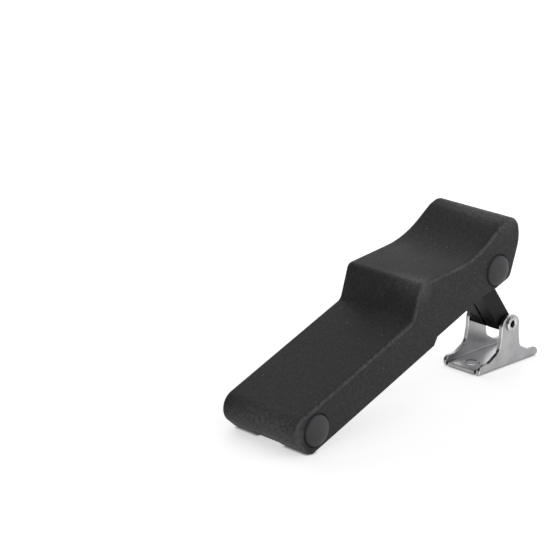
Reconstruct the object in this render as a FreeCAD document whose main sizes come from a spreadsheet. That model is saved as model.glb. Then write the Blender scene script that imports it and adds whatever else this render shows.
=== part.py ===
import FreeCAD, Part
import math
import os
import re

import Sketcher

# Over-centre draw latch with a soft rubber handle, shown open.
# Row frame in millimetres: +X from the hook end of the handle to its grip,
# +Y from the near cheek to the far cheek, +Z up. The origin is the middle of
# the base bracket's mounting face, which lies in the plane Z = 0.

os.makedirs("parts", exist_ok=True)
doc = FreeCAD.newDocument("draw_latch")

# Driving sizes, millimetres and degrees
SIZES = [
    ("handle_width", "31.5"),
    ("pin_span", "88.85"),
    ("strap_front", "7.0"),
    ("strap_back", "6.45"),
    ("tip_reach", "12.2"),
    ("tip_under", "5.15"),
    ("tip_round", "4.5"),
    ("step_start", "48.4"),
    ("crest_x", "55.42"),
    ("crest_z", "16.4"),
    ("thumb_back", "7.55"),
    ("thumb_z", "9.72"),
    ("nose_crest", "7.3"),
    ("nose_reach", "15.2"),
    ("nose_z", "13.45"),
    ("edge_soft", "1.2"),
    ("open_angle", "21.3"),
    ("pivot_height", "14.9"),
    ("link_span", "31.0"),
    ("link_front", "3.7"),
    ("link_back", "2.4"),
    ("link_eye", "3.6"),
    ("bracket_length", "30.8"),
    ("bracket_width", "15.8"),
    ("sheet_metal", "1.5"),
    ("sheet_edge", "0.3"),
    ("ear_half", "4.6"),
    ("ear_over", "2.7"),
    ("flange_height", "3.3"),
    ("screw_x", "9.9"),
    ("screw_hole", "5.0"),
    ("rivet_shank", "3.6"),
    ("rivet_head", "5.8"),
    ("rivet_dome", "1.5"),
    ("clinch_width", "4.8"),
    ("pivot_shaft", "4.0"),
    ("hook_shaft", "5.0"),
    ("cap_width", "9.9"),
    ("cap_dome", "2.4"),
    ("cap_seat", "0.6"),
    ("cap_rim", "1.2"),
    ("hook_slot", "11.0"),
    ("running_fit", "0.05"),
    ("side_gap", "0.4"),
]

sheet = doc.addObject("Spreadsheet::Sheet", "Sizes")
for row, (alias, value) in enumerate(SIZES, start=1):
    sheet.set("A%d" % row, alias)
    sheet.set("B%d" % row, value)
    sheet.setAlias("B%d" % row, alias)
doc.recompute()

ALIAS = re.compile(r"\b(" + "|".join(alias for alias, _ in SIZES) + r")\b")


def on_sheet(text):
    """'pin_span + 4' becomes 'Sizes.pin_span + 4'."""
    return ALIAS.sub(r"Sizes.\1", text)


def value_of(text):
    return float(sheet.evalExpression(on_sheet(text)))


def new_body(label):
    body = doc.addObject("PartDesign::Body", label)
    body.Label = label
    return body


def plane_of(body, role):
    return next(o for o in body.Origin.OriginFeatures if o.Role == role)


def new_sketch(body, name, role, offset=None):
    sketch = body.newObject("Sketcher::SketchObject", name)
    sketch.AttachmentSupport = [(plane_of(body, role), "")]
    sketch.MapMode = "FlatFace"
    if offset:
        sketch.setExpression("AttachmentOffset.Base.z", on_sheet(offset))
    return sketch


def dimension(sketch, kind, refs, text):
    number = sketch.addConstraint(Sketcher.Constraint(kind, *refs, value_of(text)))
    sketch.setExpression("Constraints[%d]" % number, on_sheet(text))


def corner_arc(before, here, after, radius):
    """Tangent points, centre and turn of a rounded corner."""
    back = before - here
    ahead = after - here
    back.normalize()
    ahead.normalize()
    half = back.getAngle(ahead) / 2
    reach = radius / math.tan(half)
    enter = here + back * reach
    leave = here + ahead * reach
    middle = back + ahead
    middle.normalize()
    centre = here + middle * (radius / math.sin(half))
    turn = (-back).cross(ahead).z
    return enter, leave, centre, turn


def profile(sketch, corners):
    """Closed outline from corners (x, y, radius), every value an expression.

    A radius rounds the corner, '0' keeps it sharp, and ('arc', r) makes the
    side that leaves the corner a circular arc bulging outward.
    """
    flat = [FreeCAD.Vector(value_of(c[0]), value_of(c[1]), 0) for c in corners]
    count = len(corners)
    soft = [isinstance(c[2], str) and c[2] != "0" for c in corners]
    turns = []
    for i, here in enumerate(flat):
        if soft[i]:
            turns.append(corner_arc(flat[i - 1], here, flat[(i + 1) % count],
                                    value_of(corners[i][2])))
        else:
            turns.append((here, here, None, 0.0))
    sides = []
    for i in range(count):
        start = turns[i][1]
        end = turns[(i + 1) % count][0]
        if isinstance(corners[i][2], tuple):
            sides.append(bulge(sketch, start, end, value_of(corners[i][2][1])))
        else:
            sides.append((sketch.addGeometry(Part.LineSegment(start, end), False), 1, 2))
    for i in range(count):
        before = sides[i - 1]
        after = sides[i]
        if not soft[i]:
            sketch.addConstraint(Sketcher.Constraint("Coincident", before[0], before[2],
                                                     after[0], after[1]))
            dimension(sketch, "DistanceX", (-1, 1, after[0], after[1]), corners[i][0])
            dimension(sketch, "DistanceY", (-1, 1, after[0], after[1]), corners[i][1])
            continue
        enter, leave, centre, turn = turns[i]
        first, last = (enter, leave) if turn > 0 else (leave, enter)
        circle = Part.Circle(centre, FreeCAD.Vector(0, 0, 1), value_of(corners[i][2]))
        arc = sketch.addGeometry(
            Part.ArcOfCircle(circle, circle.parameter(first), circle.parameter(last)), False)
        ends = (1, 2) if turn > 0 else (2, 1)
        sketch.addConstraint(Sketcher.Constraint("Tangent", before[0], before[2], arc, ends[0]))
        sketch.addConstraint(Sketcher.Constraint("Tangent", arc, ends[1], after[0], after[1]))
        dimension(sketch, "Radius", (arc,), corners[i][2])
        point = sketch.addGeometry(Part.Point(flat[i]), True)
        sketch.addConstraint(Sketcher.Constraint("PointOnObject", point, 1, before[0]))
        sketch.addConstraint(Sketcher.Constraint("PointOnObject", point, 1, after[0]))
        dimension(sketch, "DistanceX", (-1, 1, point, 1), corners[i][0])
        dimension(sketch, "DistanceY", (-1, 1, point, 1), corners[i][1])
    for i in range(count):
        if isinstance(corners[i][2], tuple):
            dimension(sketch, "Radius", (sides[i][0],), corners[i][2][1])
    doc.recompute()


def bulge(sketch, start, end, radius):
    """Arc from start to end, bulging to the right of that direction."""
    chord = end - start
    rise = math.sqrt(max(radius ** 2 - (chord.Length / 2) ** 2, 0.0))
    left = FreeCAD.Vector(-chord.y, chord.x, 0)
    left.normalize()
    centre = (start + end) * 0.5 + left * rise
    circle = Part.Circle(centre, FreeCAD.Vector(0, 0, 1), radius)
    arc = Part.ArcOfCircle(circle, circle.parameter(start), circle.parameter(end))
    return sketch.addGeometry(arc, False), 1, 2


def rings(sketch, circles):
    """Full circles given as (x, y, diameter) expressions."""
    for x, y, width in circles:
        centre = FreeCAD.Vector(value_of(x), value_of(y), 0)
        ring = sketch.addGeometry(
            Part.Circle(centre, FreeCAD.Vector(0, 0, 1), value_of(width) / 2), False)
        dimension(sketch, "Diameter", (ring,), width)
        dimension(sketch, "DistanceX", (-1, 1, ring, 3), x)
        dimension(sketch, "DistanceY", (-1, 1, ring, 3), y)
    doc.recompute()


def grow(body, name, sketch, length):
    """Pad to both sides of the sketch plane."""
    pad = body.newObject("PartDesign::Pad", name)
    pad.Profile = sketch
    pad.Midplane = True
    pad.setExpression("Length", on_sheet(length))
    doc.recompute()
    return pad


def cut(body, name, sketch, length, middle=True, turned=False):
    """Pocket, checked to take material away."""
    before = body.Tip.Shape.Volume
    pocket = body.newObject("PartDesign::Pocket", name)
    pocket.Profile = sketch
    pocket.Midplane = middle
    pocket.Reversed = turned
    pocket.setExpression("Length", on_sheet(length))
    doc.recompute()
    if pocket.Shape.Volume >= before - 1e-4:
        raise RuntimeError(name + " takes nothing away")
    return pocket


def spin(body, name, sketch):
    """Full revolution about the sketch's horizontal axis."""
    turned = body.newObject("PartDesign::Revolution", name)
    turned.Profile = sketch
    turned.ReferenceAxis = (sketch, ["H_Axis"])
    turned.Angle = 360
    doc.recompute()
    return turned


def soften(body, name, edges, radius):
    """Fillet on the named edges of the body's last feature."""
    base = body.Tip
    fillet = body.newObject("PartDesign::Fillet", name)
    fillet.Base = (base, edges)
    fillet.setExpression("Radius", on_sheet(radius))
    doc.recompute()
    return fillet


def bevel(body, name, edges, width):
    base = body.Tip
    chamfer = body.newObject("PartDesign::Chamfer", name)
    chamfer.Base = (base, edges)
    chamfer.setExpression("Size", on_sheet(width))
    doc.recompute()
    return chamfer


def edges_where(body, test):
    found = []
    for number, edge in enumerate(body.Tip.Shape.Edges, start=1):
        if test(edge):
            found.append("Edge%d" % number)
    if not found:
        raise RuntimeError("no edge matches on " + body.Label)
    return found


def stand(body, x, z, angle):
    """Places a body with its own X axis raised by the angle in the X-Z plane."""
    body.Placement = FreeCAD.Placement(FreeCAD.Vector(0, 0, 0),
                                       FreeCAD.Rotation(FreeCAD.Vector(0, -1, 0), 10))
    body.setExpression("Placement.Base.x", on_sheet(x))
    body.setExpression("Placement.Base.z", on_sheet(z))
    body.setExpression("Placement.Rotation.Angle", on_sheet(angle))
    doc.recompute()


# Where the axes stand when the latch lies open on its mounting plane:
# the hook end's underside rests on Z = 0 and the link's far eye sets the lean
TIP_SLOPE = "atan((strap_front + strap_back) / (tip_reach - tip_under))"
TIP_HEIGHT = ("(tip_round + (strap_back - tip_round) * cos(open_angle)"
              " + (tip_under - tip_round * tan(%s / 2)) * sin(open_angle))" % TIP_SLOPE)
RISE = "(%s + pin_span * sin(open_angle) - pivot_height)" % TIP_HEIGHT
LEAN = "(sqrt(link_span ^ 2 - %s ^ 2))" % RISE
LINK_ANGLE = "(180 - asin(%s / link_span) / 1 deg)" % RISE
PIVOT_X = "(0 - %s)" % LEAN
PIVOT_Z = "(pivot_height + %s)" % RISE
HOOK_X = "(0 - %s - pin_span * cos(open_angle))" % LEAN
HOOK_Z = TIP_HEIGHT

# Sizes of mating pieces that follow from the driving ones
CHEEK = "(handle_width / 2)"
SEAT_FLOOR = "(handle_width / 2 - cap_seat)"
CAVITY = "(bracket_width + 2 * rivet_dome + 2 * side_gap + 0.3)"
EAR_INNER = "(bracket_width / 2 - sheet_metal)"
EAR_TOP = "(pivot_height + ear_over)"
LINK_WIDTH = "(bracket_width - 2 * sheet_metal - 2 * side_gap)"
LINK_SLOT = "(bracket_width - 2 * sheet_metal)"

# Rubber handle, drawn with the hook pin axis at its origin
handle = new_body("handle_body")
outline = new_sketch(handle, "handle_outline", "XZ_Plane")
profile(outline, [
    ("-tip_under", "-strap_back", "0"),
    ("crest_x - 0.9", "-strap_back", "0"),
    ("crest_x + 0.8", "1.4 - strap_back", "0"),
    ("pin_span - 8.6", "1.4 - strap_back", "6.0"),
    ("pin_span - 2.2", "0.3 - strap_back", "6.0"),
    ("pin_span + 5.3", "0.1 - strap_back", "3.2"),
    ("pin_span + 13.6", "strap_front - 3.1", "12.0"),
    ("pin_span + nose_reach", "nose_z", "4.8"),
    ("pin_span + nose_crest", "nose_z", "5.0"),
    ("pin_span - thumb_back", "thumb_z", "33.0"),
    ("crest_x", "crest_z", "2.4"),
    ("step_start", "strap_front", "2.6"),
    ("-tip_reach", "strap_front", "5.45"),
])
grow(handle, "handle_block", outline, "handle_width")


def on_cheek(edge):
    box = edge.BoundBox
    return box.YLength < 1e-6 and abs(abs(box.YMax) - value_of(CHEEK)) < 1e-6


def back_side(edge):
    mid = edge.CenterOfMass
    return mid.z < value_of("1.8 - strap_back") and mid.x < value_of("pin_span + 4.4")


soften(handle, "front_edges", edges_where(handle, lambda e: on_cheek(e) and not back_side(e)),
       "edge_soft")
soften(handle, "back_edges", edges_where(handle, lambda e: on_cheek(e) and back_side(e)), "0.3")

# Round the underside of the tip
rounds = new_sketch(handle, "under_rounds", "XZ_Plane")
profile(rounds, [
    ("-tip_under", "-strap_back", "tip_round"),
    ("-tip_reach", "strap_front", "0"),
    ("-tip_reach - 9", "strap_front", "0"),
    ("-tip_reach - 9", "-strap_back - 6", "0"),
    ("tip_round + 4", "-strap_back - 6", "0"),
    ("tip_round + 4", "-strap_back", "0"),
])
cut(handle, "tip_round_cut", rounds, "handle_width + 4")

# Cheek relief under the grip
RELIEF = [
    ("crest_x + 0.6", "-strap_back - 4", "0"),
    ("crest_x + 0.9", "1.6 - strap_back", "0"),
    ("crest_x + 5.7", "strap_front - 5.6", "1.8"),
    ("pin_span - 3.6", "2.0 - strap_back", "0"),
    ("pin_span - 1.0", "-strap_back - 4", "0"),
]
relief_near = new_sketch(handle, "relief_near", "XZ_Plane", CHEEK)
profile(relief_near, RELIEF)
cut(handle, "relief_near_cut", relief_near, "cap_seat", middle=False)
relief_far = new_sketch(handle, "relief_far", "XZ_Plane", "-" + CHEEK)
profile(relief_far, RELIEF)
cut(handle, "relief_far_cut", relief_far, "cap_seat", middle=False, turned=True)

# Underside cavity that takes in the bracket and the link
cavity = new_sketch(handle, "cavity_outline", "XZ_Plane")
profile(cavity, [
    ("crest_x - 15.2", "-strap_back - 6", "0"),
    ("crest_x - 15.2", "3.9 - strap_back", "1.5"),
    ("crest_x - 7.6", "4.6 - strap_back", "3.0"),
    ("crest_x - 2.3", "crest_z - 8.6", "2.0"),
    ("crest_x - 1.2", "crest_z - 3.9", "2.0"),
    ("crest_x + 6.6", "crest_z - 3.9", "2.5"),
    ("pin_span - thumb_back", "thumb_z - 2.3", "6.0"),
    ("pin_span + 5.4", "thumb_z - 4.2", "2.5"),
    ("pin_span + 7.5", "-1.7", "0"),
    ("pin_span + 8.5", "-strap_back - 6", "0"),
])
cut(handle, "cavity_cut", cavity, CAVITY)

# Bosses that guide the link's eye, and the slot between them
boss = new_sketch(handle, "boss_outline", "XZ_Plane")
rings(boss, [("pin_span", "0", "2 * link_eye + 3.0")])
grow(handle, "boss_block", boss, CAVITY + " + 1")
slot = new_sketch(handle, "boss_slot", "XZ_Plane")
rings(slot, [("pin_span", "0", "2 * link_eye + 3.4")])
cut(handle, "boss_slot_cut", slot, LINK_SLOT)

# Hook pocket across the tip
hook = new_sketch(handle, "hook_outline", "XZ_Plane")
profile(hook, [
    ("-tip_under - 6", "-strap_back - 3", "0"),
    ("9.5", "-strap_back - 3", "0"),
    ("9.5", "strap_front - 3.6", "2.5"),
    ("-tip_under", "strap_front - 3.6", "2.5"),
    ("-tip_under", "2.9 - strap_back", "0"),
    ("-tip_under - 6", "2.9 - strap_back", "0"),
])
cut(handle, "hook_cut", hook, "hook_slot")

# Bores and the shallow seats of the mushroom heads
pivot_bore = new_sketch(handle, "pivot_bore", "XZ_Plane")
rings(pivot_bore, [("pin_span", "0", "pivot_shaft + 0.02")])
cut(handle, "pivot_bore_cut", pivot_bore, "handle_width + 4")
hook_bore = new_sketch(handle, "hook_bore", "XZ_Plane")
rings(hook_bore, [("0", "0", "hook_shaft + 0.02")])
cut(handle, "hook_bore_cut", hook_bore, "handle_width + 4")
SEATS = [("0", "0", "cap_width + 1.0"), ("pin_span", "0", "cap_width + 1.0")]
seat_near = new_sketch(handle, "seat_near", "XZ_Plane", CHEEK)
rings(seat_near, SEATS)
cut(handle, "seat_near_cut", seat_near, "cap_seat", middle=False)
seat_far = new_sketch(handle, "seat_far", "XZ_Plane", "-" + CHEEK)
rings(seat_far, SEATS)
cut(handle, "seat_far_cut", seat_far, "cap_seat", middle=False, turned=True)
stand(handle, HOOK_X, HOOK_Z, "open_angle")


# Mushroom headed pins and their press-on caps, drawn along +Y
def dome_rim(edge):
    box = edge.BoundBox
    wide = abs(box.XLength - value_of("cap_width")) < 0.05
    height = value_of(SEAT_FLOOR + " + cap_rim")
    return wide and abs(abs(edge.CenterOfMass.y) - height) < 0.01 and box.YLength < 0.01


def headed_pin(label, shaft, x, z):
    body = new_body(label)
    sketch = new_sketch(body, label + "_section", "YZ_Plane")
    rise = "(cap_seat + cap_dome - cap_rim)"
    arc = "(((cap_width / 2) ^ 2 + %s ^ 2) / (2 * %s))" % (rise, rise)
    split = "(%s / 2 + 0.4)" % CAVITY
    profile(sketch, [
        ("-%s - cap_rim - %s" % (SEAT_FLOOR, rise), "0", "0"),
        ("%s - 2.5" % SEAT_FLOOR, "0", "0"),
        ("%s - 2.5" % SEAT_FLOOR, shaft + " / 2 - 0.6", "0.3"),
        (split, shaft + " / 2 - 0.6", "0"),
        (split, shaft + " / 2", "0"),
        ("-" + SEAT_FLOOR, shaft + " / 2", "0"),
        ("-" + SEAT_FLOOR, "cap_width / 2", "0"),
        ("-%s - cap_rim" % SEAT_FLOOR, "cap_width / 2", ("arc", arc)),
    ])
    spin(body, label + "_turned", sketch)
    soften(body, label + "_rim", edges_where(body, dome_rim), "0.6")
    stand(body, x, z, "open_angle")
    return body


def push_cap(label, shaft, x, z):
    body = new_body(label)
    sketch = new_sketch(body, label + "_section", "YZ_Plane")
    rise = "(cap_seat + cap_dome - cap_rim)"
    arc = "(((cap_width / 2) ^ 2 + %s ^ 2) / (2 * %s))" % (rise, rise)
    split = "(%s / 2 + 0.4)" % CAVITY
    profile(sketch, [
        ("%s + cap_rim + %s" % (SEAT_FLOOR, rise), "0", ("arc", arc)),
        ("%s + cap_rim" % SEAT_FLOOR, "cap_width / 2", "0"),
        (SEAT_FLOOR, "cap_width / 2", "0"),
        (SEAT_FLOOR, shaft + " / 2", "0"),
        ("%s + 0.05" % split, shaft + " / 2", "0"),
        ("%s + 0.05" % split, shaft + " / 2 - 0.58", "0"),
        ("%s - 2.4" % SEAT_FLOOR, shaft + " / 2 - 0.58", "0"),
        ("%s - 2.4" % SEAT_FLOOR, "0", "0"),
    ])
    spin(body, label + "_turned", sketch)
    soften(body, label + "_rim", edges_where(body, dome_rim), "0.6")
    stand(body, x, z, "open_angle")
    return body


pivot_pin = headed_pin("pivot_pin", "pivot_shaft", PIVOT_X, PIVOT_Z)
pivot_cap = push_cap("pivot_pin_cap", "pivot_shaft", PIVOT_X, PIVOT_Z)
hook_pin = headed_pin("hook_pin", "hook_shaft", HOOK_X, HOOK_Z)
hook_cap = push_cap("hook_pin_cap", "hook_shaft", HOOK_X, HOOK_Z)

# Moulded link, drawn with the bracket's rivet at its origin
link = new_body("link")
bar = new_sketch(link, "link_outline", "XZ_Plane")
profile(bar, [
    ("-link_back - 1.3", "-link_back", "1.8"),
    ("link_span", "-link_back", "0"),
    ("link_span", "link_front", "0"),
    ("0.0", "link_front", "0.5"),
    ("-link_back - 1.3", "0.9", "2.0"),
])
grow(link, "link_bar", bar, LINK_WIDTH)
eye = new_sketch(link, "link_eye_outline", "XZ_Plane")
rings(eye, [("link_span", "0", "2 * link_eye")])
grow(link, "link_eye_round", eye, LINK_WIDTH)
eyes = new_sketch(link, "link_bores", "XZ_Plane")
rings(eyes, [
    ("0", "0", "rivet_shank + 2 * running_fit"),
    ("link_span", "0", "pivot_shaft + 2 * running_fit"),
])
cut(link, "link_bore_cut", eyes, "bracket_width")
parting = new_sketch(link, "link_groove", "XY_Plane", "link_front")
profile(parting, [
    ("-link_back - 2", "-0.45", "0"),
    ("link_span - link_eye - 2.4", "-0.45", "0.4"),
    ("link_span - link_eye - 2.4", "0.45", "0.4"),
    ("-link_back - 2", "0.45", "0"),
])
cut(link, "link_groove_cut", parting, "0.7", middle=False)
marks = new_sketch(link, "ejector_marks", "XY_Plane", "link_front")
rings(marks, [
    ("4.5", "-" + LINK_WIDTH + " * 0.265", "3.0"),
    ("4.5", LINK_WIDTH + " * 0.265", "3.0"),
    ("link_span - 9.5", "-" + LINK_WIDTH + " * 0.265", "3.0"),
    ("link_span - 9.5", LINK_WIDTH + " * 0.265", "3.0"),
])
cut(link, "ejector_mark_cut", marks, "0.2", middle=False)
stand(link, "0", "pivot_height", LINK_ANGLE)

# Stamped base bracket: a bent channel, blanked to an ear on each flange
bracket = new_body("base_bracket")
channel = new_sketch(bracket, "bracket_channel", "YZ_Plane")
profile(channel, [
    ("-bracket_width / 2", "0", "sheet_metal - 0.1"),
    ("bracket_width / 2", "0", "sheet_metal - 0.1"),
    ("bracket_width / 2", EAR_TOP + " + 3", "0"),
    (EAR_INNER, EAR_TOP + " + 3", "0"),
    (EAR_INNER, "sheet_metal", "0.3"),
    ("-" + EAR_INNER, "sheet_metal", "0.3"),
    ("-" + EAR_INNER, EAR_TOP + " + 3", "0"),
    ("-bracket_width / 2", EAR_TOP + " + 3", "0"),
])
grow(bracket, "bracket_block", channel, "bracket_length + 4")
blank = new_sketch(bracket, "bracket_blank", "XZ_Plane")
profile(blank, [
    ("-bracket_length / 2 - 5", "-5", "0"),
    ("bracket_length / 2 + 5", "-5", "0"),
    ("bracket_length / 2 + 5", EAR_TOP + " + 6", "0"),
    ("-bracket_length / 2 - 5", EAR_TOP + " + 6", "0"),
])
profile(blank, [
    ("-bracket_length / 2", "-2", "0"),
    ("bracket_length / 2", "-2", "0"),
    ("bracket_length / 2", "flange_height - 0.1", "1.9"),
    ("ear_half + 5.6", "flange_height", "4.0"),
    ("ear_half + 0.9", "flange_height + 2.6", "2.6"),
    ("ear_half", "flange_height + 7.5", "8.0"),
    ("ear_half - 0.1", EAR_TOP, "ear_half - 0.9"),
    ("0.1 - ear_half", EAR_TOP, "ear_half - 0.9"),
    ("-ear_half", "flange_height + 7.5", "8.0"),
    ("-ear_half - 0.9", "flange_height + 2.6", "2.6"),
    ("-ear_half - 5.6", "flange_height", "4.0"),
    ("-bracket_length / 2", "flange_height - 0.1", "1.9"),
])
cut(bracket, "bracket_blank_cut", blank, "bracket_width + 8")


def blanked_edge(edge):
    """Edge of the sheet's outer or inner face, neither along a bend nor across the sheet."""
    box = edge.BoundBox
    along_bend = box.XLength > value_of("bracket_length") - 1
    across = box.XLength < 0.01 and box.ZLength < 0.01
    return not along_bend and not (across and box.YLength < value_of("2 * sheet_metal"))


soften(bracket, "tumbled_edges", edges_where(bracket, blanked_edge), "sheet_edge")
rivet_holes = new_sketch(bracket, "rivet_holes", "XZ_Plane")
rings(rivet_holes, [("0", "pivot_height", "rivet_shank + 0.02")])
cut(bracket, "rivet_hole_cut", rivet_holes, "bracket_width + 4")
screws = new_sketch(bracket, "screw_holes", "XY_Plane", "sheet_metal")
rings(screws, [("-screw_x", "0", "screw_hole"), ("screw_x", "0", "screw_hole")])
cut(bracket, "screw_hole_cut", screws, "sheet_metal + 1", middle=False)


def screw_rim(edge):
    box = edge.BoundBox
    size_ok = abs(box.XLength - value_of("screw_hole")) < 0.05
    return size_ok and abs(box.ZMin - value_of("sheet_metal")) < 1e-5


bevel(bracket, "screw_rims", edges_where(bracket, screw_rim), "0.25")
notches = new_sketch(bracket, "bend_reliefs", "XY_Plane", "sheet_metal")
RELIEF_OUT = "(%s + 0.1)" % EAR_INNER
RELIEF_IN = "(%s - 0.9)" % EAR_INNER
for end in ("", "-"):
    for low, high in ((RELIEF_IN, RELIEF_OUT), ("-" + RELIEF_OUT, "-" + RELIEF_IN)):
        inner = end + "(bracket_length / 2 - 1.6)"
        outer = end + "(bracket_length / 2 + 1)"
        first, last = (inner, outer) if not end else (outer, inner)
        profile(notches, [(first, low, "0"), (last, low, "0"), (last, high, "0"),
                          (first, high, "0")])
cut(bracket, "bend_relief_cut", notches, "sheet_metal + 1", middle=False)

# Semi-tubular rivet: domed head on the far ear, rolled clinch on the near ear
rivet = new_body("base_rivet")
section = new_sketch(rivet, "rivet_section", "YZ_Plane")
RIVET_RISE = "(rivet_dome - 0.3)"
RIVET_ARC = "(((rivet_head / 2) ^ 2 + %s ^ 2) / (2 * %s))" % (RIVET_RISE, RIVET_RISE)
EAR_OUTER = "(bracket_width / 2)"
profile(section, [
    (EAR_OUTER + " + rivet_dome", "0", ("arc", RIVET_ARC)),
    (EAR_OUTER + " + 0.3", "rivet_head / 2", "0"),
    (EAR_OUTER, "rivet_head / 2", "0"),
    (EAR_OUTER, "rivet_shank / 2", "0"),
    ("-" + EAR_OUTER, "rivet_shank / 2", "0"),
    ("-" + EAR_OUTER, "clinch_width / 2", "0"),
    ("-" + EAR_OUTER + " - 0.9", "clinch_width / 2", "0.5"),
    ("-" + EAR_OUTER + " - 0.9", "1.15", "0.5"),
    ("4.0 - " + EAR_OUTER, "1.15", "0"),
    ("4.7 - " + EAR_OUTER, "0", "0"),
])
spin(rivet, "rivet_turned", section)
stand(rivet, "0", "pivot_height", "0")

# Check and write every piece
doc.recompute()
for thing in doc.Objects:
    if "Invalid" in thing.State or "Error" in thing.State:
        raise RuntimeError(thing.Label + " did not compute")
for body in (bracket, rivet, link, pivot_pin, pivot_cap, handle, hook_pin, hook_cap):
    shape = body.Shape
    if shape.isNull() or not shape.isValid() or len(shape.Solids) != 1:
        raise RuntimeError(body.Label + " is not one valid solid")
    shape.exportStep("parts/%s.step" % body.Label)
    box = shape.BoundBox
    print("%-14s volume %9.1f  x %.2f..%.2f  y %.2f..%.2f  z %.2f..%.2f" % (
        body.Label, shape.Volume, box.XMin, box.XMax, box.YMin, box.YMax, box.ZMin, box.ZMax))
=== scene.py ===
import math

import bpy
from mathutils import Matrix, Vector


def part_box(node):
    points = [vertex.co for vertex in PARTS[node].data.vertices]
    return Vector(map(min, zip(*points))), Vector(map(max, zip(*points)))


bl_info = {
    "name": "Soft Draw Latch",
    "version": (1, 0, 0),
    "blender": (4, 5, 0),
    "location": "View3D > Sidebar > Draw Latch",
    "description": "Finishes the packed parts of an over-centre draw latch and sets its studio",
    "category": "Object",
}

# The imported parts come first, so that their box is known before anything is added
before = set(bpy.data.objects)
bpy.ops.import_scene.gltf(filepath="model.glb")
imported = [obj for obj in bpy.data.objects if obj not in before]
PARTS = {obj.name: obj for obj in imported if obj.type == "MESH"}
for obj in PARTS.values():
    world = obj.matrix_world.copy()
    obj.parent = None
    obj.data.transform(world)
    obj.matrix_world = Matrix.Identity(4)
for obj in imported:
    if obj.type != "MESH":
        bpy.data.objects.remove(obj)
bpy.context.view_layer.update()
MM = 0.001
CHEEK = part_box("handle_body")[1][1]
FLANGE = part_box("base_bracket")[1][1]

# At rest the link rises from its rivet at this angle to the floor
LINK_LEAN = math.radians(52.4)

# Where hands and the table rub the handle, at the tip, the crest's near corner and the nose, and
# where painted light makes it paler than the lamps do: centre and reach in millimetres, and
# strength. Along the Y axis each place reaches farther, by one over the across factor below
WORN_AND_LIT_ACROSS = 0.35
WORN_AND_LIT_PLACES = (
    ((-111.0, -4.3, 7.0), 9.0, 1.8),
    ((-55.5, -14.3, 42.3), 7.0, 1.2),
    ((-14.0, -7.1, 57.5), 9.0, 1.6),
)

# Name, power in watts, side and place in metres
SOFTBOXES = (
    ("top_softbox", 1.0, 0.8, (0.0, 0.0, 0.8)),
    ("side_softbox", 1.45, 0.7, (0.35, -0.65, 0.35)),
    ("front_softbox", 0.5, 0.7, (-0.75, 0.0, 0.4)),
    ("back_softbox", 1.5, 0.7, (0.0, 0.75, 0.45)),
    ("thumb_softbox", 2.6, 0.7, (0.55, 0.65, 0.4)),
    ("camera_softbox", 1.2, 0.6, (-0.35, -0.7, 0.55)),
    ("bracket_softbox", 1.2, 0.6, (0.8, 0.0, 0.25)),
    ("low_softbox", 0.55, 0.4, (0.6, -0.47, 0.29)),
)

# About the middle of the latch, which all the softboxes face
LAMP_AIM = Vector((-0.045, 0, 0.03))

# The photograph's viewing place in metres and its turns in degrees, worked out from
# the latch's own outline
CAMERA_PLACE = (-0.541196, -0.425543, 0.252831)
CAMERA_TURN = (71.8355, -1.1660, -45.3495)


def linear(hex_colour):
    """Linear RGB of an sRGB hex colour."""
    channels = [int(hex_colour[i:i + 2], 16) / 255 for i in (1, 3, 5)]
    return tuple(c / 12.92 if c <= 0.04045 else ((c + 0.055) / 1.055) ** 2.4 for c in channels)


def add_node(tree, kind, links=None, values=None, feeds=None, **settings):
    """One shader node: links into it, values on its sockets, feeds out of it, its own settings.

    A socket goes by its name or number. On a Map Range, 1 and 2 are the range that
    comes in and 3 and 4 the range that goes out. On a Mix, 6 and 7 are its two colours.
    """
    node = tree.nodes.new(kind)
    for name, value in settings.items():
        setattr(node, name, value)
    for key, value in (values or {}).items():
        node.inputs[key].default_value = value
    for key, source in (links or {}).items():
        tree.links.new(source, node.inputs[key])
    for key, target in (feeds or {}).items():
        tree.links.new(node.outputs[key], target)
    return node


def new_material(name):
    """Empty material with its surface shader and the object's own coordinates in metres."""
    material = bpy.data.materials.new(name)
    material.use_nodes = True
    tree = material.node_tree
    tree.nodes.clear()
    surface = add_node(tree, "ShaderNodeBsdfPrincipled")
    add_node(tree, "ShaderNodeOutputMaterial", {"Surface": surface.outputs["BSDF"]})
    place = add_node(tree, "ShaderNodeTexCoord")
    return material, tree, surface, place


def looked_at(tree):
    """1 for rays that the camera, a mirror or a clear body sends out, 0 for the others."""
    rays = add_node(tree, "ShaderNodeLightPath")
    seen = rays.outputs["Is Camera Ray"]
    for kind in ("Is Glossy Ray", "Is Transmission Ray"):
        seen = add_node(tree, "ShaderNodeMath", {0: seen, 1: rays.outputs[kind]},
                        operation="ADD", use_clamp=True).outputs[0]
    return seen


def dress(material, *names):
    """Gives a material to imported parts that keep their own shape."""
    for name in names:
        slots = PARTS[name].data.materials
        slots.clear()
        slots.append(material)


def rubbed_and_highlit_edges(tree, place, look):
    """Rubbed bands along the handle's edges, which also carry a painted highlight along the
    fillets: near a cheek, but not on its flat.
    """
    where = add_node(tree, "ShaderNodeSeparateXYZ", {0: place.outputs["Object"]})
    facing = add_node(tree, "ShaderNodeSeparateXYZ", {0: place.outputs["Normal"]})
    aside = add_node(tree, "ShaderNodeMath", {0: where.outputs["Y"]}, operation="ABSOLUTE")
    lean = add_node(tree, "ShaderNodeMath", {0: facing.outputs["Y"]}, operation="ABSOLUTE")
    near = add_node(tree, "ShaderNodeMapRange", {0: aside.outputs[0]},
                    {1: CHEEK - look.edge_band_width, 2: CHEEK - 0.5 * look.edge_band_width,
                     3: 0.0, 4: look.edge_wear_and_highlight})
    off_flat = add_node(tree, "ShaderNodeMapRange", {0: lean.outputs[0]},
                        {1: 0.93, 2: 1.0, 3: 1.0, 4: 0.0})
    return add_node(tree, "ShaderNodeMath", {0: near.outputs[0], 1: off_flat.outputs[0]},
                    operation="MULTIPLY").outputs[0]


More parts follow.
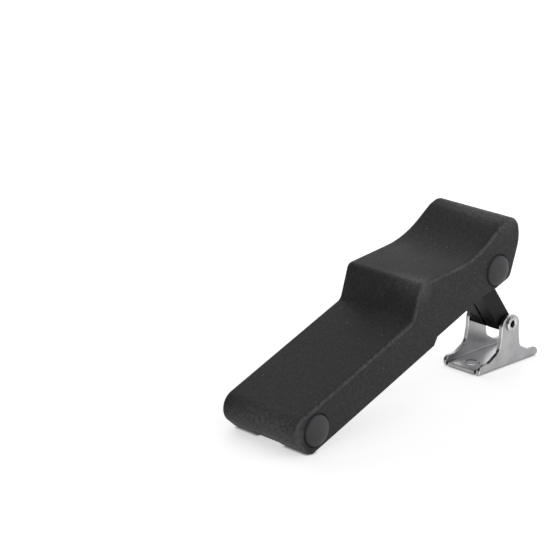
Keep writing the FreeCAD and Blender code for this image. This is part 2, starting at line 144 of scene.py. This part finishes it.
def rubbed_and_lit_places(tree, spot, worn_and_lit):
    """Adds the listed places, rubbed and made paler by painted light, to the wear and painted
    highlight so far.
    """
    drawn_in = add_node(tree, "ShaderNodeMapping", {"Vector": spot},
                        {"Scale": (1, WORN_AND_LIT_ACROSS, 1)})
    for (x, y, z), reach, strength in WORN_AND_LIT_PLACES:
        away = add_node(tree, "ShaderNodeVectorMath", {0: drawn_in.outputs[0]},
                        {1: (MM * x, MM * WORN_AND_LIT_ACROSS * y, MM * z)}, operation="DISTANCE")
        zone = add_node(tree, "ShaderNodeMapRange", {0: away.outputs["Value"]},
                        {1: 0.0, 2: MM * reach, 3: strength, 4: 0.0},
                        interpolation_type="SMOOTHSTEP")
        worn_and_lit = add_node(tree, "ShaderNodeMath", {0: worn_and_lit, 1: zone.outputs[0]},
                        operation="ADD").outputs[0]
    return worn_and_lit


def satin_skin(tree, surface, spot, look):
    """The faint orange peel that nylon takes from its mould, in roughness and bump."""
    peel = add_node(tree, "ShaderNodeTexNoise", {"Vector": spot},
                    {"Scale": 1 / look.grain, "Detail": 3.0, "Roughness": 0.55})
    add_node(tree, "ShaderNodeMapRange", {0: peel.outputs["Fac"]},
             {1: 0.3, 2: 0.7, 3: look.roughness - 0.05, 4: look.roughness + 0.08},
             {0: surface.inputs["Roughness"]})
    add_node(tree, "ShaderNodeBump", {"Height": peel.outputs["Fac"]},
             {"Strength": 0.2, "Distance": 0.012 * MM}, {0: surface.inputs["Normal"]})
    surface.inputs["IOR"].default_value = 1.53


class RubberLook(bpy.types.PropertyGroup):
    body_colour: bpy.props.FloatVectorProperty(
        name="Body colour", description="Charcoal of the moulded rubber",
        subtype="COLOR", size=3, min=0, max=1, default=linear("#2A2A2C"))
    # The pale colour is the bloom's, and also that of the painted highlights and painted light on
    # the edges and rubbed places
    bloom_and_highlight_colour: bpy.props.FloatVectorProperty(
        name="Bloom colour", description="Pale haze that rubber shows where it is rubbed",
        subtype="COLOR", size=3, min=0, max=1, default=linear("#626264"))
    dust_colour: bpy.props.FloatVectorProperty(
        name="Dust colour", description="Colour of the fine specks of dust",
        subtype="COLOR", size=3, min=0, max=1, default=linear("#828282"))
    cloud_size: bpy.props.FloatProperty(
        name="Cloud size", description="Width of one soft cloud of bloom",
        unit="LENGTH", min=0.002, max=0.1, default=14.286 * MM)
    haze: bpy.props.FloatProperty(
        name="Haze", description="How pale a cloud of bloom is at its middle",
        subtype="FACTOR", min=0, max=1, default=0.17)
    grain: bpy.props.FloatProperty(
        name="Grain", description="Width of one grain of the mould's spark-eroded texture",
        unit="LENGTH", min=0.0001, max=0.002, default=0.8 * MM)
    mottle: bpy.props.FloatProperty(
        name="Mottle", description="How much paler the high grains are",
        subtype="FACTOR", min=0, max=1, default=0.28)
    # The next two set the band along the edges, which is rubbed wear and also a painted highlight
    # along the fillets
    edge_band_width: bpy.props.FloatProperty(
        name="Wear width", description="Width of the rubbed band along the edges",
        unit="LENGTH", min=0.0002, max=0.005, default=1.0 * MM)
    edge_wear_and_highlight: bpy.props.FloatProperty(
        name="Edge wear", description="How strongly the edges are rubbed",
        min=0, max=3, default=1.4)
    dust_pitch: bpy.props.FloatProperty(
        name="Dust pitch", description="Typical distance between two specks",
        unit="LENGTH", min=0.001, max=0.02, default=2.5 * MM)
    dust_size: bpy.props.FloatProperty(
        name="Dust size", description="Radius of the largest specks",
        unit="LENGTH", min=0.00005, max=0.001, default=0.275 * MM)
    roughness: bpy.props.FloatProperty(
        name="Roughness", description="Roughness of the rubber's skin",
        subtype="FACTOR", min=0, max=1, default=0.62)
    gloss: bpy.props.FloatProperty(
        name="Gloss", description="Specular level, where clean rubber would have 0.5",
        subtype="FACTOR", min=0, max=1, default=0.2)


class NylonLook(bpy.types.PropertyGroup):
    pin_colour: bpy.props.FloatVectorProperty(
        name="Pin colour", description="Dark grey of the mushroom-headed pins",
        subtype="COLOR", size=3, min=0, max=1, default=linear("#606062"))
    link_colour: bpy.props.FloatVectorProperty(
        name="Link colour", description="Black of the glass-filled link",
        subtype="COLOR", size=3, min=0, max=1, default=linear("#121213"))
    fibre_colour: bpy.props.FloatVectorProperty(
        name="Fibre colour", description="Paler flecks where glass fibre lies near the link's skin",
        subtype="COLOR", size=3, min=0, max=1, default=linear("#303032"))
    fibre_width: bpy.props.FloatProperty(
        name="Fibre width", description="Width of one fleck, which is four times as long",
        unit="LENGTH", min=0.0001, max=0.002, default=0.3333 * MM)
    fibre_show: bpy.props.FloatProperty(
        name="Fibre show", description="How clearly the link's flecks show",
        subtype="FACTOR", min=0, max=1, default=0.5)
    grain: bpy.props.FloatProperty(
        name="Grain", description="Width of the fine satin texture left by the mould",
        unit="LENGTH", min=0.0001, max=0.002, default=0.25 * MM)
    roughness: bpy.props.FloatProperty(
        name="Roughness", description="Roughness of the satin skin",
        subtype="FACTOR", min=0, max=1, default=0.45)
    pin_gloss: bpy.props.FloatProperty(
        name="Pin gloss", description="Specular level of the pins",
        subtype="FACTOR", min=0, max=1, default=0.03)
    link_gloss: bpy.props.FloatProperty(
        name="Link gloss", description="Specular level of the link",
        subtype="FACTOR", min=0, max=1, default=0.12)


class SteelLook(bpy.types.PropertyGroup):
    sheet_colour: bpy.props.FloatVectorProperty(
        name="Sheet colour", description="Bare stainless sheet",
        subtype="COLOR", size=3, min=0, max=1, default=linear("#ACACAD"))
    smear_colour: bpy.props.FloatVectorProperty(
        name="Smear colour", description="Duller patches of the tumbled sheet",
        subtype="COLOR", size=3, min=0, max=1, default=linear("#9A9A9C"))
    # Painted highlight along the rounded rims of the sheet and the rivet
    rim_highlight_colour: bpy.props.FloatVectorProperty(
        name="Rim colour", description="Burnished edges, where tumbling has worked most",
        subtype="COLOR", size=3, min=0, max=1, default=linear("#EEEEEF"))
    rivet_colour: bpy.props.FloatVectorProperty(
        name="Rivet colour", description="Bright rivet steel",
        subtype="COLOR", size=3, min=0, max=1, default=linear("#C8C8C9"))
    rolling_pitch: bpy.props.FloatProperty(
        name="Rolling pitch", description="Width of the faint lines that the rolls leave",
        unit="LENGTH", min=0.0001, max=0.005, default=0.5 * MM)
    dent_size: bpy.props.FloatProperty(
        name="Dent size", description="Width of the shallow dents of the tumbling stones",
        unit="LENGTH", min=0.0002, max=0.01, default=2.381 * MM)
    smear_size: bpy.props.FloatProperty(
        name="Smear size", description="Width of one duller patch",
        unit="LENGTH", min=0.001, max=0.05, default=8.333 * MM)
    roughness: bpy.props.FloatProperty(
        name="Roughness", description="Roughness of the sheet after tumbling",
        subtype="FACTOR", min=0, max=1, default=0.3)
    rivet_roughness: bpy.props.FloatProperty(
        name="Rivet roughness", description="Roughness of the rivet",
        subtype="FACTOR", min=0, max=1, default=0.24)


class StudioLook(bpy.types.PropertyGroup):
    floor_colour: bpy.props.FloatVectorProperty(
        name="Floor colour", description="Colour of the plain floor",
        subtype="COLOR", size=3, min=0, max=1, default=linear("#F2F2F2"))
    floor_radius: bpy.props.FloatProperty(
        name="Floor radius", description="Radius of the round floor",
        unit="LENGTH", min=0.5, max=10, default=8.0)
    floor_glow: bpy.props.FloatProperty(
        name="Floor glow", description="Light that the floor adds where it is looked at",
        min=0, max=1, default=0.6)
    shade_reach: bpy.props.FloatProperty(
        name="Shade reach", description="How near the object has to be to shade the glow",
        unit="LENGTH", min=0.0005, max=0.05, default=0.8 * MM)
    lamp_power: bpy.props.FloatProperty(
        name="Lamp power", description="Factor on the powers of all the softboxes",
        min=0, max=20, default=1.0)
    room_light: bpy.props.FloatProperty(
        name="Room light", description="Strength of the even light from all round",
        min=0, max=2, default=0.05)
    lens: bpy.props.FloatProperty(
        name="Lens", description="Focal length in millimetres on a 36 mm sensor",
        min=20, max=400, default=141.9)


class LATCH_OT_handle(bpy.types.Operator):
    """Finishes the one-piece rubber handle"""
    bl_idname = "latch.handle"
    bl_label = "Rubber handle"

    def execute(self, context):
        look = context.scene.latch_rubber
        # Compression-moulded EPDM: a matt skin from a spark-eroded mould, a pale haze of bloom in
        # soft clouds, and paler still where it is rubbed, with painted highlights along the edges'
        # fillets and painted light at the tip, the crest's near corner and the nose. The mould's
        # grain is about 0.1 mm, and is drawn as coarse as it needs to show
        material, tree, surface, place = new_material("moulded_epdm_rubber")
        spot = place.outputs["Object"]
        clouds = add_node(tree, "ShaderNodeTexNoise", {"Vector": spot},
                          {"Scale": 1 / look.cloud_size, "Detail": 5.0, "Roughness": 0.62})
        haze = add_node(tree, "ShaderNodeMapRange", {0: clouds.outputs["Fac"]},
                        {1: 0.35, 2: 0.75, 3: 0.0, 4: look.haze})
        grain = add_node(tree, "ShaderNodeTexNoise", {"Vector": spot},
                         {"Scale": 1 / look.grain, "Detail": 2.0, "Roughness": 0.7})
        mottle = add_node(tree, "ShaderNodeMapRange", {0: grain.outputs["Fac"]},
                          {1: 0.35, 2: 0.7, 3: 0.0, 4: look.mottle})
        # Wear, with painted highlights on the edges and painted light at the listed places, broken
        # up into patches so that it looks rubbed
        worn_and_lit = rubbed_and_lit_places(tree, spot, rubbed_and_highlit_edges(tree, place, look))
        patches = add_node(tree, "ShaderNodeTexNoise", {"Vector": spot},
                           {"Scale": 1 / look.edge_band_width, "Detail": 5.0, "Roughness": 0.7})
        uneven = add_node(tree, "ShaderNodeMapRange", {0: patches.outputs["Fac"]},
                          {1: 0.35, 2: 0.7, 3: 0.1, 4: 0.9})
        rubbed = add_node(tree, "ShaderNodeMath", {0: worn_and_lit, 1: uneven.outputs[0]},
                          operation="MULTIPLY")
        pale = add_node(tree, "ShaderNodeMath", {0: haze.outputs[0], 1: mottle.outputs[0]},
                        operation="ADD")
        paler = add_node(tree, "ShaderNodeMath", {0: pale.outputs[0], 1: rubbed.outputs[0]},
                         operation="ADD", use_clamp=True)
        skin = add_node(tree, "ShaderNodeMix", {0: paler.outputs[0]},
                        {6: (*look.body_colour, 1), 7: (*look.bloom_and_highlight_colour, 1)},
                        data_type="RGBA")
        # Dust: a speck of chance size and strength in most cells
        cells = add_node(tree, "ShaderNodeTexVoronoi", {"Vector": spot},
                         {"Scale": 1 / look.dust_pitch, "Randomness": 1.0})
        chance = add_node(tree, "ShaderNodeSeparateColor", {0: cells.outputs["Color"]})
        radius = add_node(tree, "ShaderNodeMapRange", {0: chance.outputs[0]},
                          {1: 0.3, 2: 1.0, 3: 0.0, 4: look.dust_size / look.dust_pitch})
        speck = add_node(tree, "ShaderNodeMath",
                         {0: cells.outputs["Distance"], 1: radius.outputs[0]},
                         operation="LESS_THAN")
        faint = add_node(tree, "ShaderNodeMath", {0: speck.outputs[0], 1: chance.outputs[1]},
                         operation="MULTIPLY")
        add_node(tree, "ShaderNodeMix", {0: faint.outputs[0], 6: skin.outputs[2]},
                 {7: (*look.dust_colour, 1)}, {2: surface.inputs["Base Color"]}, data_type="RGBA")
        add_node(tree, "ShaderNodeMapRange", {0: clouds.outputs["Fac"]},
                 {1: 0.3, 2: 0.8, 3: look.roughness - 0.06, 4: look.roughness + 0.1},
                 {0: surface.inputs["Roughness"]})
        add_node(tree, "ShaderNodeBump", {"Height": grain.outputs["Fac"]},
                 {"Strength": 0.4, "Distance": 0.03 * MM}, {0: surface.inputs["Normal"]})
        surface.inputs["IOR"].default_value = 1.5
        surface.inputs["Specular IOR Level"].default_value = look.gloss
        dress(material, "handle_body")
        return {"FINISHED"}


class LATCH_OT_pins(bpy.types.Operator):
    """Finishes the mushroom-headed pins, their caps and the link"""
    bl_idname = "latch.pins"
    bl_label = "Nylon pins and link"

    def execute(self, context):
        look = context.scene.latch_nylon
        # Injection-moulded nylon 66: smoother than the rubber, with a faint orange peel
        material, tree, surface, place = new_material("satin_nylon_pin")
        satin_skin(tree, surface, place.outputs["Object"], look)
        surface.inputs["Base Color"].default_value = (*look.pin_colour, 1)
        surface.inputs["Specular IOR Level"].default_value = look.pin_gloss
        dress(material, "pivot_pin", "pivot_pin_cap", "hook_pin", "hook_pin_cap")

        # The link's nylon is glass-filled: its fibre shows as short pale flecks that
        # lie along it, drawn far coarser than the real ones, which are about 0.01 mm
        material, tree, surface, place = new_material("glass_filled_nylon_link")
        spot = place.outputs["Object"]
        satin_skin(tree, surface, spot, look)
        along = add_node(tree, "ShaderNodeMapping", {"Vector": spot},
                         {"Rotation": (0, LINK_LEAN, 0), "Scale": (4.0, 1.0, 1.0)},
                         vector_type="TEXTURE")
        fibre = add_node(tree, "ShaderNodeTexNoise", {"Vector": along.outputs[0]},
                         {"Scale": 1 / look.fibre_width, "Detail": 2.0})
        fleck = add_node(tree, "ShaderNodeMapRange", {0: fibre.outputs["Fac"]},
                         {1: 0.55, 2: 0.75, 3: 0.0, 4: look.fibre_show})
        add_node(tree, "ShaderNodeMix", {0: fleck.outputs[0]},
                 {6: (*look.link_colour, 1), 7: (*look.fibre_colour, 1)},
                 {2: surface.inputs["Base Color"]}, data_type="RGBA")
        surface.inputs["Specular IOR Level"].default_value = look.link_gloss
        dress(material, "link")
        return {"FINISHED"}


class LATCH_OT_bracket(bpy.types.Operator):
    """Finishes the stamped bracket and its rivet"""
    bl_idname = "latch.bracket"
    bl_label = "Steel bracket and rivet"

    def execute(self, context):
        look = context.scene.latch_steel
        # Stainless sheet, stamped and tumbled bright: soft wide reflections, faint
        # rolling lines along the strip and tiny dents from the tumbling stones. Lines
        # and dents are finer on the real sheet, and are drawn as coarse as they need to show
        for name, part, colour, roughness in (
                ("tumbled_stainless_sheet", "base_bracket", look.sheet_colour, look.roughness),
                ("bright_rivet_steel", "base_rivet", look.rivet_colour, look.rivet_roughness)):
            material, tree, surface, place = new_material(name)
            spot = place.outputs["Object"]
            along = add_node(tree, "ShaderNodeMapping", {"Vector": spot},
                             {"Scale": (0.05, 1.0, 1.0)})
            lines = add_node(tree, "ShaderNodeTexNoise", {"Vector": along.outputs[0]},
                             {"Scale": 1 / look.rolling_pitch, "Detail": 2.0})
            dents = add_node(tree, "ShaderNodeTexNoise", {"Vector": spot},
                             {"Scale": 1 / look.dent_size, "Detail": 2.0, "Roughness": 0.4})
            smear = add_node(tree, "ShaderNodeTexNoise", {"Vector": spot},
                             {"Scale": 1 / look.smear_size, "Detail": 3.0})
            patch = add_node(tree, "ShaderNodeMapRange", {0: smear.outputs["Fac"]},
                             {1: 0.35, 2: 0.65, 3: 0.0, 4: 1.0})
            plain = add_node(tree, "ShaderNodeMix", {0: patch.outputs[0]},
                             {6: (*colour, 1), 7: (*look.smear_colour, 1)}, data_type="RGBA")
            # The rounded rim between a side of the sheet and its cut edge is painted bright as a
            # painted highlight, further out than the screw holes, whose rims are not
            axes = add_node(tree, "ShaderNodeSeparateXYZ", {0: place.outputs["Normal"]})
            slant = add_node(tree, "ShaderNodeMath", {0: axes.outputs["X"], 1: axes.outputs["Y"]},
                             operation="MULTIPLY")
            rim = add_node(tree, "ShaderNodeMath", {0: slant.outputs[0]}, operation="ABSOLUTE")
            where = add_node(tree, "ShaderNodeSeparateXYZ", {0: spot})
            aside = add_node(tree, "ShaderNodeMath", {0: where.outputs["Y"]}, operation="ABSOLUTE")
            on_ear = add_node(tree, "ShaderNodeMath", {0: aside.outputs[0]}, {1: 0.7 * FLANGE},
                              operation="GREATER_THAN")
            shine = add_node(tree, "ShaderNodeMapRange", {0: rim.outputs[0], 4: on_ear.outputs[0]},
                             {1: 0.1, 2: 0.35, 3: 0.0})
            add_node(tree, "ShaderNodeMix", {0: shine.outputs[0], 6: plain.outputs[2]},
                     {7: (*look.rim_highlight_colour, 1)}, {2: surface.inputs["Base Color"]},
                     data_type="RGBA")
            add_node(tree, "ShaderNodeMapRange", {0: lines.outputs["Fac"]},
                     {1: 0.3, 2: 0.7, 3: roughness - 0.02, 4: roughness + 0.03},
                     {0: surface.inputs["Roughness"]})
            rolled = add_node(tree, "ShaderNodeBump", {"Height": lines.outputs["Fac"]},
                              {"Strength": 0.03, "Distance": 0.01 * MM})
            add_node(tree, "ShaderNodeBump",
                     {"Height": dents.outputs["Fac"], "Normal": rolled.outputs[0]},
                     {"Strength": 0.08, "Distance": 0.05 * MM}, {0: surface.inputs["Normal"]})
            surface.inputs["Metallic"].default_value = 1.0
            dress(material, part)
        return {"FINISHED"}


class LATCH_OT_stage(bpy.types.Operator):
    """Sets the floor, the soft light and the camera"""
    bl_idname = "latch.stage"
    bl_label = "Studio"

    def execute(self, context):
        look = context.scene.latch_studio
        scene = context.scene
        bpy.ops.object.select_all(action="DESELECT")
        # A tenth of a millimetre under the latch, so that no two faces lie in one plane
        bpy.ops.mesh.primitive_circle_add(vertices=96, radius=look.floor_radius,
                                          fill_type="NGON", location=(0, 0, -0.1 * MM))
        floor = context.active_object
        floor.name = "floor"
        bpy.ops.object.transform_apply(location=True, rotation=True, scale=True)
        # Matt paper that is lit by the softboxes and looks white where it is unshaded,
        # also from 0.4 m to 1.6 m out, where less and less of their light falls
        paper, tree, surface, place = new_material("matt_white_paper")
        surface.inputs["Base Color"].default_value = (*look.floor_colour, 1)
        surface.inputs["Roughness"].default_value = 0.9
        surface.inputs["Specular IOR Level"].default_value = 0.1
        surface.inputs["Emission Color"].default_value = (1, 1, 1, 1)
        away = add_node(tree, "ShaderNodeVectorMath", {0: place.outputs["Object"]},
                        operation="LENGTH")
        glow = add_node(tree, "ShaderNodeMapRange", {0: away.outputs["Value"]},
                        {1: 0.4, 2: 1.6, 3: look.floor_glow, 4: 1.0})
        # Close under the object and in its holes the paper is shaded all the same
        crevice = add_node(tree, "ShaderNodeAmbientOcclusion",
                           values={"Distance": look.shade_reach})
        open_glow = add_node(tree, "ShaderNodeMath", {0: glow.outputs[0], 1: crevice.outputs["AO"]},
                             operation="MULTIPLY")
        add_node(tree, "ShaderNodeMath", {0: looked_at(tree), 1: open_glow.outputs[0]},
                 feeds={0: surface.inputs["Emission Strength"]}, operation="MULTIPLY")
        floor.data.materials.append(paper)

        for name, power, size, place in SOFTBOXES:
            aim = LAMP_AIM - Vector(place)
            bpy.ops.object.light_add(type="AREA", location=place,
                                     rotation=aim.to_track_quat("-Z", "Y").to_euler())
            lamp = context.active_object
            lamp.name = name
            lamp.data.energy = power * look.lamp_power
            lamp.data.size = size

        # An even room, which the steel mirrors
        world = bpy.data.worlds.new("plain_room")
        scene.world = world
        world.use_nodes = True
        sky = world.node_tree
        sky.nodes.clear()
        light = add_node(sky, "ShaderNodeBackground",
                         values={"Color": (1, 1, 1, 1), "Strength": look.room_light})
        add_node(sky, "ShaderNodeOutputWorld", {"Surface": light.outputs[0]})

        bpy.ops.object.camera_add(location=CAMERA_PLACE,
                                  rotation=[math.radians(turn) for turn in CAMERA_TURN])
        camera = context.active_object
        camera.name = "camera"
        camera.data.lens = look.lens
        camera.data.sensor_width = 36.0
        camera.data.clip_start = 0.01
        camera.data.clip_end = 20.0
        scene.camera = camera
        scene.view_settings.view_transform = "Standard"
        return {"FINISHED"}


class LATCH_PT_panel(bpy.types.Panel):
    """Buttons and settings for the latch"""
    bl_idname = "LATCH_PT_panel"
    bl_label = "Soft Draw Latch"
    bl_space_type = "VIEW_3D"
    bl_region_type = "UI"
    bl_category = "Draw Latch"

    def draw(self, context):
        for look, operator in (("latch_rubber", LATCH_OT_handle), ("latch_nylon", LATCH_OT_pins),
                               ("latch_steel", LATCH_OT_bracket), ("latch_studio", LATCH_OT_stage)):
            box = self.layout.box()
            box.operator(operator.bl_idname)
            settings = getattr(context.scene, look)
            for name in settings.__annotations__:
                box.prop(settings, name)


LOOKS = (("latch_rubber", RubberLook), ("latch_nylon", NylonLook),
         ("latch_steel", SteelLook), ("latch_studio", StudioLook))
CLASSES = (LATCH_OT_handle, LATCH_OT_pins, LATCH_OT_bracket, LATCH_OT_stage, LATCH_PT_panel)


def register():
    for name, look in LOOKS:
        bpy.utils.register_class(look)
        setattr(bpy.types.Scene, name, bpy.props.PointerProperty(type=look))
    for cls in CLASSES:
        bpy.utils.register_class(cls)


def unregister():
    for cls in reversed(CLASSES):
        bpy.utils.unregister_class(cls)
    for name, look in reversed(LOOKS):
        delattr(bpy.types.Scene, name)
        bpy.utils.unregister_class(look)


def main():
    register()
    bpy.ops.latch.handle()
    bpy.ops.latch.pins()
    bpy.ops.latch.bracket()
    bpy.ops.latch.stage()


if __name__ == "__main__":
    main()
